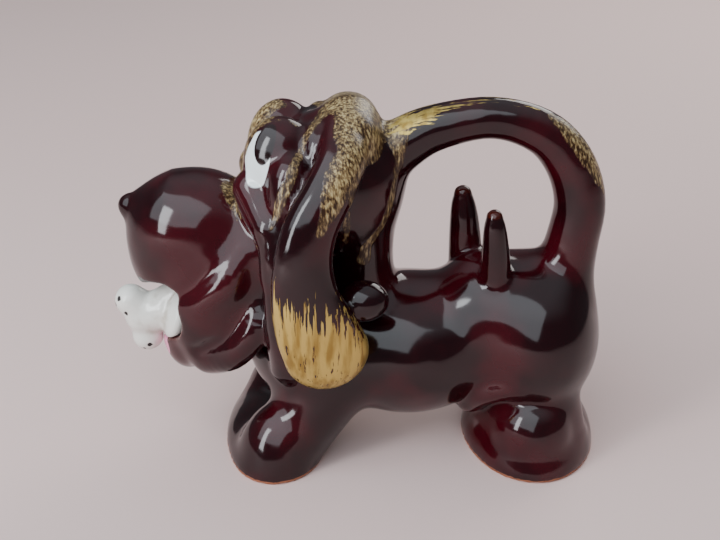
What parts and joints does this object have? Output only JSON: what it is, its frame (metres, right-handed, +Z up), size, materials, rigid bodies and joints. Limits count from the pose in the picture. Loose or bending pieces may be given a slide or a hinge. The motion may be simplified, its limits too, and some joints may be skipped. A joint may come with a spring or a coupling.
{
  "type": "ceramic animal figure jug",
  "caption": "Glazed ceramic hound that is a hollow jug, with its tail as the handle, its mouth as the spout and a loose bone as the stopper.",
  "frame": {"origin": "on the table, under the middle of the length and width", "axes": "+X from the nose towards the tail, along the longest side; +Z up; the far side of the dog in the picture is +Y"},
  "size_m": [0.2222, 0.1084, 0.1666],
  "materials": {
    "brown_glaze": "glossy",
    "white_glaze": "glossy"
  },
  "bodies": {
    "root": {"dog_body": "brown_glaze", "bone_stopper": "white_glaze"}
  },
  "joints": []
}
